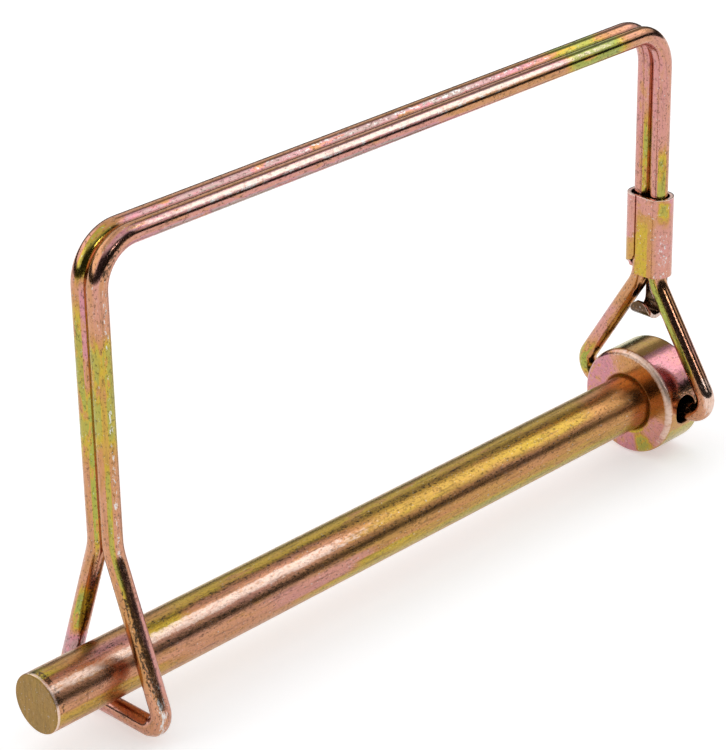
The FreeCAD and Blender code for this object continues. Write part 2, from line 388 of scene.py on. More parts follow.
@dataclass(frozen=True)
class Plating:
    """Yellow-passivated zinc plate: a metal whose hue drifts over the piece, with pits, drawn lines and wear.

    drift is how far the film's thickness wanders, and stretch how much longer than wide its blotches are.
    hues are places where the film has one thickness, worn where it is rubbed through, bright where it is
    rubbed thin and where a highlight is painted pale along a highlight band, matt where an edge is blunt,
    soiled where grime is left and where shade and dark reflections are painted in speckles, brushed where the
    metal was sawn and the film is dull, and hollow where painted shade covers a recess that next to no light
    gets into.
    """

    name: str
    mapping: Mapping
    film: float
    girth: float
    hues: tuple[Hue, ...] = ()
    worn: tuple[Patch, ...] = ()
    bright: tuple[Patch, ...] = ()
    matt: tuple[Patch, ...] = ()
    grime_and_painted_shade: tuple[Patch, ...] = ()
    brushed: tuple[Patch, ...] = ()
    painted_hollow_shade: tuple[Patch, ...] = ()
    drift: float = 0.35
    stretch: float = 7.0
    roughness: float = 0.16
    grain_depth: float = 0.004
    pitting: float = 0.6
    flecks: float = 0.5
    streaks: float = 0.35

    def material(self) -> bpy.types.Material:
        """Builds the node material."""
        made = bpy.data.materials.new(self.name)
        made.use_nodes = True
        graph = Graph(made.node_tree)
        place = self._place(graph)
        inputs = {
            "Base Color": self._colour(graph, place),
            "Metallic": 1.0,
            "Roughness": self._roughness(place),
            "Normal": self._relief(graph, place),
        }
        graph.output("OutputMaterial", graph.add("BsdfPrincipled", {}, inputs))
        made.diffuse_color = COPPER_FILM
        return made

    def _place(self, graph: Graph) -> Place:
        """Measures the surface as the mapping says."""
        coordinates = "UV" if self.mapping is Mapping.SURFACE else "Object"
        raw = graph.add("TexCoord", {}, {}, coordinates)
        if self.mapping is Mapping.ROUND_X:
            grain = graph.scale(raw, (METRE, METRE, METRE))
            parts = [graph.add("SeparateXYZ", {}, {0: grain}, axis) for axis in "XYZ"]
            return Place(parts[0], (-parts[1]).bearing(parts[2]), grain)
        along, turns = (graph.add("SeparateXYZ", {}, {0: raw}, axis) for axis in "XY")
        side = turns * math.tau
        grain = graph.add(
            "CombineXYZ", {}, {"X": along, "Y": side.cosine() * self.girth, "Z": side.sine() * self.girth}
        )
        return Place(along, side, grain)

    def _film(self, place: Place) -> Signal:
        """Thickness of the film: its wandering value, drawn to one value on each hue's patch."""
        wander = place.noise(1.0 / self.stretch, 0.5, 2.0, 0.5) - 0.5
        ripple = place.noise(1.0 / self.stretch, 2.2, 3.0, 0.6) - 0.5
        edge = (place.noise(2.0 / self.stretch, 1.1, 3.0, 0.6) - 0.5) * 1.3
        film = self.film + wander * (WANDER * self.drift)
        for hue in self.hues:
            share = (hue.patch.mask(place) + edge).step(0.02, 0.98)
            film = film + (hue.film + wander * (HUE_WANDER * self.drift) - film) * share
        return (film + ripple * (RIPPLE * self.drift)).cycle()

    def _colour(self, graph: Graph, place: Place) -> Signal:
        """Film hue, then drawn streaks, pits, grime and painted shade, wear and painted highlights, sawn ends,
        flecks and painted shade over hollows.
        """
        colour = graph.add("ValToRGB", {"stops": FILM_COLOURS}, {0: self._film(place)})
        streak = place.noise(0.06, 3.2, 4.0, 0.7).step(0.50, 0.70)
        colour = graph.mix(streak * self.streaks, colour, GRIME_AND_SHADE_COLOUR)
        grains = self._grains(place)
        colour = graph.mix(grains.step(0.52, 0.66) * self.pitting, colour, GRIME_AND_SHADE_COLOUR)
        # Speckled dark over these patches: grime, and painted shade and painted dark reflections.
        colour = SPECKLED_GRIME_AND_SHADE.over(colour, place, grains, self.grime_and_painted_shade)
        # Pale over the bright patches: rubbed film, and painted highlights along highlight bands; bare zinc
        # where worn through.
        scuff_and_highlight_noise = graph.noise(graph.scale(place.grain, (0.5, 1.2, 1.2)), 2.6, 4.0, 0.75)
        colour = RUBBED_THIN_AND_HIGHLIGHT.over(colour, place, scuff_and_highlight_noise, self.bright)
        colour = RUBBED_THROUGH.over(colour, place, scuff_and_highlight_noise, self.worn)
        for patch in self.brushed:
            lines = graph.noise(graph.scale(place.grain, (1.0, 1.0, 0.10)), 6.0, 3.0, 0.75).step(0.36, 0.66)
            sawn = graph.mix(lines * 0.45, DULL_OLIVE, GOLD_FILM)
            colour = graph.mix(patch.mask(place) * 0.94, colour, sawn)
        fleck = place.noise(0.7, 4.6, 2.0, 0.6).step(0.66, 0.72)
        colour = graph.mix(fleck * self.flecks, colour, BARE_ZINC)
        # Painted shade: near black over recesses that little light reaches.
        for patch in self.painted_hollow_shade:
            colour = graph.mix(patch.mask(place) * 0.97, colour, SHADE)
        return colour

    @staticmethod
    def _grains(place: Place) -> Signal:
        """The noise that pits, grime, painted shade and dull grains share."""
        return place.noise(0.6, 4.4, 3.0, 0.75)

    def _roughness(self, place: Place) -> Signal:
        """Duller where the plate is thick, on its pits, where it was sawn and where it is matt."""
        cloud = place.noise(0.4, 1.2, 3.0, 0.6)
        grains = self._grains(place).step(0.50, 0.68)
        rough = self.roughness * (0.7 + cloud * 0.6) + grains * (0.4 * self.pitting)
        for patches, extra in ((self.brushed, SAWN_DULLNESS), (self.matt, MATT_DULLNESS)):
            for patch in patches:
                rough = rough + patch.mask(place) * extra
        return rough

    def _relief(self, graph: Graph, place: Place) -> Signal:
        """Fine grain of the plate over the lines that drawing left along the piece."""
        grit = place.noise(0.6, 4.2, 2.0, 0.6)
        lines = place.noise(0.05, 4.0, 2.0, 0.6)
        inputs = {"Strength": 1.0, "Distance": self.grain_depth / METRE, "Height": grit * 0.8 + lines * 0.5}
        return graph.add("Bump", {}, inputs)


# ---- Surfaces ----

@dataclass
class Grid:
    """A surface as rows of points in millimetres, with its map (along in millimetres, turns).

    A closed grid's last column joins its first, a capped one has a face over its first and last row, and
    dropped marks the faces that are left out, by row and column.
    """

    points: np.ndarray
    surface_map: np.ndarray
    closed: bool = False
    capped: bool = False
    dropped: np.ndarray | None = None

    def faces(self) -> tuple[np.ndarray, np.ndarray, np.ndarray]:
        """Vertex numbers of all faces in turn, how many corners each has, and the map at each corner."""
        rows, columns = self.points.shape[:2]
        spans = columns if self.closed else columns - 1
        row, column = np.meshgrid(np.arange(rows - 1), np.arange(spans), indexing="ij")
        kept = np.ones(row.shape, dtype=bool) if self.dropped is None else ~self.dropped
        row, column = row[kept], column[kept]
        after = (column + 1) % columns
        lower, upper = row * columns, (row + 1) * columns
        corners = [np.stack([lower + column, lower + after, upper + after, upper + column], axis=1).ravel()]
        sizes = [np.full(len(row), 4)]
        square = [(row, column), (row, column + 1), (row + 1, column + 1), (row + 1, column)]
        uv = [np.stack([self.surface_map[place] for place in square], axis=1).reshape(-1, 2)]
        if self.capped:
            first, last = np.arange(columns)[::-1], np.arange(columns)
            corners += [first, (rows - 1) * columns + last]
            sizes.append(np.full(2, columns))
            uv += [self.surface_map[0, first], self.surface_map[-1, last]]
        return np.concatenate(corners), np.concatenate(sizes), np.concatenate(uv)


def placed(name: str, data: bpy.types.ID | None) -> bpy.types.Object:
    """A new object of the scene that shows the data."""
    made = bpy.data.objects.new(name, data)
    bpy.context.scene.collection.objects.link(made)
    return made


def lattice(*values: np.ndarray | float) -> np.ndarray:
    """Spreads values over one grid and stacks them point by point."""
    return np.stack(np.broadcast_arrays(*values), axis=-1)


def mesh_object(name: str, *grids: Grid) -> bpy.types.Object:
    """Joins grids into one mesh at the origin, welds their shared edges and turns the faces outwards.

    Args:
        name: The object's name.
        grids: The surfaces.

    Returns:
        The smooth-shaded object.
    """
    parts = [grid.faces() for grid in grids]
    counts = [grid.points.shape[0] * grid.points.shape[1] for grid in grids]
    starts = np.cumsum(counts) - counts
    points = np.concatenate([grid.points.reshape(-1, 3) for grid in grids]) / METRE
    corners = np.concatenate([part[0] + start for part, start in zip(parts, starts)])
    sizes = np.concatenate([part[1] for part in parts])
    used, corners = np.unique(corners, return_inverse=True)
    points = points[used]
    mesh = bpy.data.meshes.new(name)
    mesh.vertices.add(len(points))
    mesh.vertices.foreach_set("co", points.astype(np.float32).ravel())
    mesh.loops.add(len(corners))
    mesh.loops.foreach_set("vertex_index", corners.astype(np.int32))
    mesh.polygons.add(len(sizes))
    mesh.polygons.foreach_set("loop_start", (np.cumsum(sizes) - sizes).astype(np.int32))
    mesh.polygons.foreach_set("use_smooth", np.ones(len(sizes), dtype=bool))
    layer = mesh.uv_layers.new(name="surface")
    layer.data.foreach_set("uv", np.concatenate([part[2] for part in parts]).astype(np.float32).ravel())
    mesh.update(calc_edges=True)
    mesh.validate()
    shell = bmesh.new()
    shell.from_mesh(mesh)
    bmesh.ops.remove_doubles(shell, verts=shell.verts, dist=2e-6)
    bmesh.ops.recalc_face_normals(shell, faces=shell.faces)
    shell.to_mesh(mesh)
    shell.free()
    return placed(name, mesh)


@dataclass
class Route:
    """Straight runs through points, with a tangent arc of a given radius at each inner point."""

    points: np.ndarray
    radii: Sequence[float]

    def sample(self, run_step: float, arc_step: float) -> np.ndarray:
        """Points along the route.

        A run from A to B is A + t (B - A). An arc of radius R that turns by w at a corner starts R tan(w / 2)
        before it, and its points are centre + R (cos t * from-centre + sin t * tangent).

        Args:
            run_step: Spacing on the runs in millimetres.
            arc_step: Spacing on the arcs in degrees.

        Returns:
            The points, in order.
        """
        stretches = []
        start = self.points[0]
        for before, corner, after, radius in zip(self.points, self.points[1:], self.points[2:], self.radii):
            ahead = (corner - before) / np.linalg.norm(corner - before)
            onward = (after - corner) / np.linalg.norm(after - corner)
            turn = math.acos(float(np.clip(ahead @ onward, -1.0, 1.0)))
            arc_start = corner - ahead * radius * math.tan(turn / 2)
            inward = onward - ahead * math.cos(turn)
            inward /= np.linalg.norm(inward)
            centre = arc_start + inward * radius
            angles = np.linspace(0.0, turn, max(3, math.ceil(math.degrees(turn) / arc_step)) + 1)[:, None]
            stretches += [
                self._run(start, arc_start, run_step),
                (centre + radius * (np.sin(angles) * ahead - np.cos(angles) * inward))[:-1],
            ]
            start = centre + radius * (math.sin(turn) * ahead - math.cos(turn) * inward)
        stretches += [self._run(start, self.points[-1], run_step), self.points[-1:]]
        return np.concatenate(stretches)

    @staticmethod
    def _run(start: np.ndarray, end: np.ndarray, step: float) -> np.ndarray:
        """Even points from start up to but without end."""
        count = max(1, round(float(np.linalg.norm(end - start)) / step))
        return start + np.arange(count)[:, None] / count * (end - start)


PROFILE_ARC_STEP = 9.0
SHEET_RUN_STEP = 0.2


def lengths_along(points: np.ndarray) -> np.ndarray:
    """Distance of each point from the first, along the points."""
    return np.concatenate([[0.0], np.cumsum(np.linalg.norm(np.diff(points, axis=0), axis=1))])


def turned(profile: np.ndarray, angles: np.ndarray) -> Grid:
    """A surface turned about X.

    A point (x, r) of the profile becomes (x, -r sin t, r cos t), with t from 0 to a full turn.

    Args:
        profile: Rows of (x, radius) from one end to the other.
        angles: The values of t, rising from 0 and short of a full turn.

    Returns:
        The closed grid.
    """
    x, radius = profile[:, :1], profile[:, 1:]
    points = lattice(x, -radius * np.sin(angles), radius * np.cos(angles))
    turns = np.append(angles, math.tau) / math.tau
    return Grid(points, lattice(lengths_along(profile)[:, None], turns), closed=True, capped=True)


def rounded_profile(
    corners: Sequence[tuple[float, float]], radii: Sequence[float], run_step: float
) -> np.ndarray:
    """A profile of (x, radius) points with its inner corners rounded."""
    flat = np.array([(x, radius, 0.0) for x, radius in corners])
    return Route(flat, radii).sample(run_step, PROFILE_ARC_STEP)[:, :2]


# ---- The pieces ----

AXIS_RADIUS = 0.02
HOLLOW_MAP = -2.0


@dataclass
class CrossHole:
    """The hole across the head, which the collar's surface goes round.

    The collar's grid lines run square to each other. Between the half widths outer and inner, measured from
    the hole's middle, squares of lines are drawn in until the innermost is the circle of the hole's mouth.
    """

    middle: float = 3.0
    radius: float = 1.65
    mouth_round: float = 0.2
    floor: float = 2.8
    inner: float = 1.2
    outer: float = 2.28
    line_step: float = 0.12
    quarter_lines: int = 22
    round_rows: int = 6
    wall_rows: int = 8

    @property
    def lines(self) -> np.ndarray:
        """Places of the grid lines over the hole, from its middle."""
        count = round(self.outer / self.line_step)
        return np.arange(-count, count + 1) * self.line_step

    @property
    def mouth(self) -> float:
        """Radius at which the mouth's round meets the collar."""
        return self.radius + self.mouth_round

    def angles(self, around: float) -> np.ndarray:
        """Angles of the grid lines along X, for a collar of this radius: even in height over both mouths."""
        over_mouth = np.arcsin(self.lines / around)
        rest = np.linspace(over_mouth[-1], math.pi / 2, self.quarter_lines)[1:-1]
        half = np.concatenate([[-math.pi / 2], -rest[::-1], over_mouth, rest])
        return np.concatenate([half, half + math.pi]) + math.pi / 2

    def cut(self, grid: Grid, around: float, side_from: float) -> None:
        """Draws the grid in round both mouths and drops the faces inside them.

        Args:
            grid: The collar's surface.
            around: The collar's radius.
            side_from: Where its side starts, along the profile less the place in X.
        """
        points = grid.points
        a, b = points[..., 0] - self.middle, points[..., 2]
        square = np.maximum(abs(a), abs(b))
        on_side = np.hypot(points[..., 1], b) > around - TINY
        moved = on_side & (square < self.outer - TINY)
        share = ((square - self.inner) / (self.outer - self.inner)).clip(0.0, 1.0)
        pull = share + (1.0 - share) * self.mouth / np.hypot(a, b).clip(TINY)
        face_a = np.abs(a[:-1] + a[1:]) / 2
        face_b = np.abs(b[:-1] + np.roll(b, -1, axis=1)[:-1]) / 2
        grid.dropped = (np.maximum(face_a, face_b) < self.inner) & on_side[:-1] & on_side[1:]
        new_a, new_b = np.where(moved, a * pull, a), np.where(moved, b * pull, b)
        near = np.sign(points[..., 1])
        depth = np.where(moved, near * np.sqrt((around**2 - new_b**2).clip(0.0)), points[..., 1])
        grid.points = lattice(new_a + self.middle, depth, new_b)
        turns = (np.arctan2(-depth, new_b) / math.tau) % 1.0
        remapped = lattice(new_a + self.middle + side_from, turns)
        first_map = grid.surface_map[:, : points.shape[1]]
        first_map[moved] = remapped[moved]

    def wall(self, around: float, side: int) -> Grid:
        """The mouth's round, the wall and the floor of one end of the hole.

        Rows go in. At angle t of the round the radius is mouth - round sin t and the depth round (1 - cos t).

        Args:
            around: The collar's radius.
            side: 1 for the end at +Y and -1 for the end at -Y.

        Returns:
            The surface, open towards the mouth.
        """
        count = round(self.inner / self.line_step)
        edge = np.arange(-count, count) * self.line_step
        full = np.full(2 * count, self.inner)
        a = np.concatenate([edge, full, -edge, -full])
        b = np.concatenate([-full, edge, full, -edge])
        turn = np.arctan2(b, a)
        rim = np.sqrt(around**2 - (self.mouth * np.sin(turn)) ** 2)
        round_angles = np.linspace(0.0, math.pi / 2, self.round_rows)[:, None]
        sunk = self.mouth_round * (1.0 - np.cos(round_angles))
        lip = rim - self.mouth_round
        steps = np.linspace(0.0, 1.0, self.wall_rows + 1)[1:, None]
        bottom = np.full((1, len(a)), self.floor)
        heights = np.concatenate([rim - sunk, lip + steps * (self.floor - lip), bottom])
        mouth_radii = self.mouth - self.mouth_round * np.sin(round_angles)
        radii = np.concatenate([mouth_radii, np.full((self.wall_rows, 1), self.radius), np.zeros((1, 1))])
        points = lattice(self.middle + radii * np.cos(turn), side * heights, radii * np.sin(turn))
        depth_map = HOLLOW_MAP - np.arange(len(radii))[:, None] / 2.0
        return Grid(points, lattice(depth_map, np.zeros(len(a) + 1)), closed=True)


@dataclass
class Pin:
    """The shank and the collar pressed on its end."""

    tip_round: float = 0.22
    collar_round: float = 0.65
    bore_chamfer: float = 0.3
    bore_round: float = 0.2
    neck: float = 2.6
    neck_margin: float = 0.9
    neck_round: float = 0.05
    shank_step: float = 0.6
    shank_around: int = 144
    collar_step: float = 0.12
    hole: CrossHole = field(default_factory=CrossHole)
    shank_radius: float = field(init=False)
    tip_x: float = field(init=False)
    back_x: float = field(init=False)
    collar_radius: float = field(init=False)

    def __post_init__(self) -> None:
        """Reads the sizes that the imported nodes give."""
        low, high = node_box("pin_shank")
        self.tip_x, self.back_x = float(low[0]), float(high[0])
        self.shank_radius = float(high[2])
        self.collar_radius = float((node_box("head_collar")[1] - node_box("head_collar")[0])[2]) / 2

    def build(self) -> None:
        """Makes and dresses both pieces."""
        shank = mesh_object("shank", self._shank())
        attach(shank, "pin")
        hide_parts("pin_shank")
        shank.data.materials.append(self._shank_finish().material())
        collar = self._collar()
        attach(collar, "pin")
        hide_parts("head_collar")
        collar.data.materials.append(self._collar_finish().material())
        LOG.info("pin: shank and collar built")

    def _shank(self) -> Grid:
        """The bar, turned about X, with a broken edge at each end and a neck clear of the cross hole."""
        neck_from, neck_to = self.neck_margin, self.back_x - self.neck_margin
        corners = [
            (self.tip_x, AXIS_RADIUS),
            (self.tip_x, self.shank_radius),
            (neck_from, self.shank_radius),
            (neck_from, self.neck),
            (neck_to, self.neck),
            (neck_to, self.shank_radius),
            (self.back_x, self.shank_radius),
            (self.back_x, AXIS_RADIUS),
        ]
        radii = [self.tip_round, *[self.neck_round] * 4, self.tip_round]
        profile = rounded_profile(corners, radii, self.shank_step)
        return turned(profile, np.linspace(0.0, math.tau, self.shank_around, endpoint=False))

    def _collar(self) -> bpy.types.Object:
        """The ring, turned about X, with the cross hole cut through its side."""
        bore, around, chamfer = self.shank_radius, self.collar_radius, self.bore_chamfer
        front = [(chamfer, bore), (0.0, bore + chamfer), (0.0, around), (self.back_x / 2, around)]
        half = rounded_profile(front, [self.bore_round, self.collar_round], self.collar_step)
        side_start = half[np.argmax(half[:, 1] > around - TINY), 0]
        half = half[half[:, 0] < side_start + TINY]
        side = lattice(self.hole.lines + self.hole.middle, around)
        back = lattice(self.back_x - half[::-1, 0], half[::-1, 1])
        grid = turned(np.concatenate([half, side, back]), self.hole.angles(around))
        self.hole.cut(grid, around, float(grid.surface_map[len(half), 0, 0] - side[0, 0]))
        return mesh_object("collar", grid, self.hole.wall(around, 1), self.hole.wall(around, -1))

    def _shank_finish(self) -> Plating:
        """Copper and gold over the length, pink by the loop and below, olive along the top."""
        tip, radius = self.tip_x, self.shank_radius
        return Plating(
            name="pin plating",
            mapping=Mapping.ROUND_X,
            film=Film.COPPER,
            girth=radius,
            hues=hues(
                (Film.YELLOW + 0.04, -30.0, 60.0, -4.0, 26.0),
                (Film.OLIVE, tip + 3.0, 6.0, 2.0, 20.0),
                (Film.COPPER - 0.04, tip + 10.0, 8.0, 0.0, 30.0),
                (Film.SALMON, tip + 16.0, 24.0, 88.0, 26.0),
                (Film.GOLD, -24.0, 26.0, 101.0, 11.0),
                (Film.OLIVE + 0.05, -30.0, 26.0, 117.0, 12.0),
                (Film.SALMON + 0.04, tip + 18.0, 23.0, 38.0, 20.0),
                (Film.YELLOW, tip + 14.5, 4.0, 26.0, 13.0, 1.4),
                (Film.MAGENTA - 0.06, tip + 9.0, 3.0, 30.0, 22.0, 1.4),
                (Film.SALMON, tip + 6.0, 5.0, 60.0, 30.0),
                (Film.YELLOW + 0.06, -26.0, 20.0, 30.0, 20.0),
                (Film.PINK, -53.0, 8.0, 90.0, 14.0),
                (Film.GOLD - 0.03, tip + 5.0, 11.0, 104.0, 13.0),
                (Film.YELLOW, -43.0, 5.0, 102.0, 10.0),
                (Film.COPPER, -4.0, 5.0, 40.0, 50.0),
            ),
            # The tip's rubbed edge, and a painted highlight along the band that the softbox lights.
            bright=(
                Patch(tip + 0.22, 0.14, 60.0, 95.0, 0.4),
                Patch(tip + 20.0, 24.0, 42.0, 9.0),
            ),
            # Painted dark reflections of the surround, speckled along the length at 17 and 62 degrees, and
            # darker speckle just behind the tip.
            grime_and_painted_shade=(
                Patch(-45.0, 47.0, 17.0, 7.0, weight=0.8),
                Patch(-46.0, 45.0, 62.0, 6.0, weight=0.75),
                Patch(tip + 0.7, 0.4, 30.0, 60.0),
            ),
            brushed=(Patch(tip - 1.0, 1.08, fade=0.03),),
            drift=0.17,
            stretch=8.0,
            roughness=0.27,
            grain_depth=0.016,
            pitting=0.5,
            streaks=0.5,
        )

    def _collar_finish(self) -> Plating:
        """Pink and orange on the face, a rubbed rim, and pink to gold round the side."""
        return Plating(
            name="collar plating",
            mapping=Mapping.SURFACE,
            film=Film.SALMON,
            girth=self.collar_radius,
            hues=hues(
                (Film.YELLOW - 0.02, 0.25, 0.5, 0.0, 180.0, 0.3, 1.4),
                (Film.MAGENTA, 1.9, 1.6, -55.0, 45.0),
                (Film.COPPER, 1.7, 1.6, 45.0, 66.0),
                (Film.PINK + 0.02, 1.9, 1.4, 120.0, 18.0, 1.2),
                (Film.OLIVE - 0.04, 2.2, 1.2, 151.0, 10.0, 1.5),
                (Film.MAGENTA, 2.2, 1.4, 182.0, 16.0),
                (Film.COPPER, 2.0, 1.6, 220.0, 24.0),
                (Film.OLIVE, 6.2, 2.8, -35.0, 30.0, 0.4),
                (Film.GOLD, 6.2, 2.8, 2.0, 14.0, 0.4),
                (Film.MAGENTA, 6.2, 2.8, 40.0, 24.0, 0.4),
                (Film.COPPER - 0.04, 6.2, 2.8, 104.0, 14.0, 0.4),
                (Film.OLIVE + 0.03, 6.2, 2.8, 126.0, 16.0, 0.4),
                (Film.SALMON, 6.2, 2.8, 160.0, 20.0, 0.4),
            ),
            bright=(Patch(3.05, 0.5, 55.0, 75.0),),
            matt=(Patch(3.1, 0.5, 50.0, 70.0, 0.6, 0.55), Patch(0.24, 0.3, fade=0.3)),
            # A painted dark reflection above the cross hole.
            grime_and_painted_shade=(Patch(6.4, 2.4, 73.0, 14.0),),
            # Painted shade down the cross hole's walls.
            painted_hollow_shade=(Patch(HOLLOW_MAP - 5.5, 4.6, fade=0.2),),
            drift=0.22,
            stretch=1.3,
            roughness=0.17,
            grain_depth=0.008,
            streaks=0.15,
            pitting=0.4,
        )


# The wire's hues, as rows for hues(). The second strand's are measured back from its end in the head.
FIRST_STRAND_HUES = (
    (Film.LIME, 9.0, 3.5, 200.0, 60.0),
    (Film.PINK, 15.0, 5.0, 180.0, 120.0),
    (Film.COPPER, 21.0, 4.0, 200.0, 120.0),
    (Film.PINK, 42.0, 12.0, 180.0, 50.0),
    (Film.OLIVE - 0.03, 37.0, 6.0, 235.0, 26.0),
    (Film.PINK, 49.0, 7.0, 240.0, 90.0),
    (Film.LIME, 64.0, 4.5, 330.0, 90.0),
    (Film.COPPER, 82.0, 13.0, 320.0, 70.0),
    (Film.SALMON, 110.0, 18.0, 320.0, 70.0),
    (Film.MAUVE - 0.04, 100.0, 32.0, 320.0, 16.0),
    (Film.OLIVE, 132.0, 3.0, 325.0, 26.0),
    (Film.OLIVE, 146.0, 9.0, 330.0, 100.0),
    (Film.MAGENTA, 140.5, 5.5, 313.0, 13.0),
    (Film.SALMON, 159.0, 6.0, 330.0, 100.0),
    (Film.LIME + 0.03, 155.0, 8.0, 315.0, 13.0),
    (Film.LIME, 171.3, 3.4, 320.0, 40.0),
    (Film.MAUVE - 0.07, 179.0, 5.0, 330.0, 90.0),
)
SECOND_STRAND_HUES = (
    (Film.SALMON, 181.0, 6.0, 60.0, 90.0),
    (Film.PINK, 171.0, 8.0, 110.0, 24.0),
    (Film.COPPER, 170.0, 6.0, 20.0, 40.0),
    (Film.SALMON, 160.0, 7.0, 45.0, 100.0),
    (Film.OLIVE, 160.0, 8.0, 46.0, 13.0),
    (Film.OLIVE, 145.0, 6.5, 45.0, 100.0),
    (Film.GOLD, 148.0, 5.0, 48.0, 14.0),
    (Film.SALMON, 136.0, 4.0, 45.0, 100.0),
    (Film.PINK, 106.0, 24.0, 100.0, 50.0),
    (Film.MAUVE - 0.04, 96.0, 36.0, 41.0, 18.0),
    (Film.MAUVE, 108.0, 22.0, 122.0, 20.0),
    (Film.COPPER, 78.0, 8.0, 80.0, 30.0),
    (Film.LIME, 63.0, 4.5, 55.0, 90.0),
    (Film.PINK, 47.0, 9.0, 120.0, 70.0),
    (Film.OLIVE - 0.02, 33.0, 5.0, 126.0, 26.0),
    (Film.PINK, 36.0, 7.0, 172.0, 18.0),
    (Film.LIME, 17.0, 8.0, 185.0, 30.0),
    (Film.PINK, 16.0, 8.0, 225.0, 22.0),
    (Film.SALMON, 7.0, 3.5, 90.0, 180.0),
)


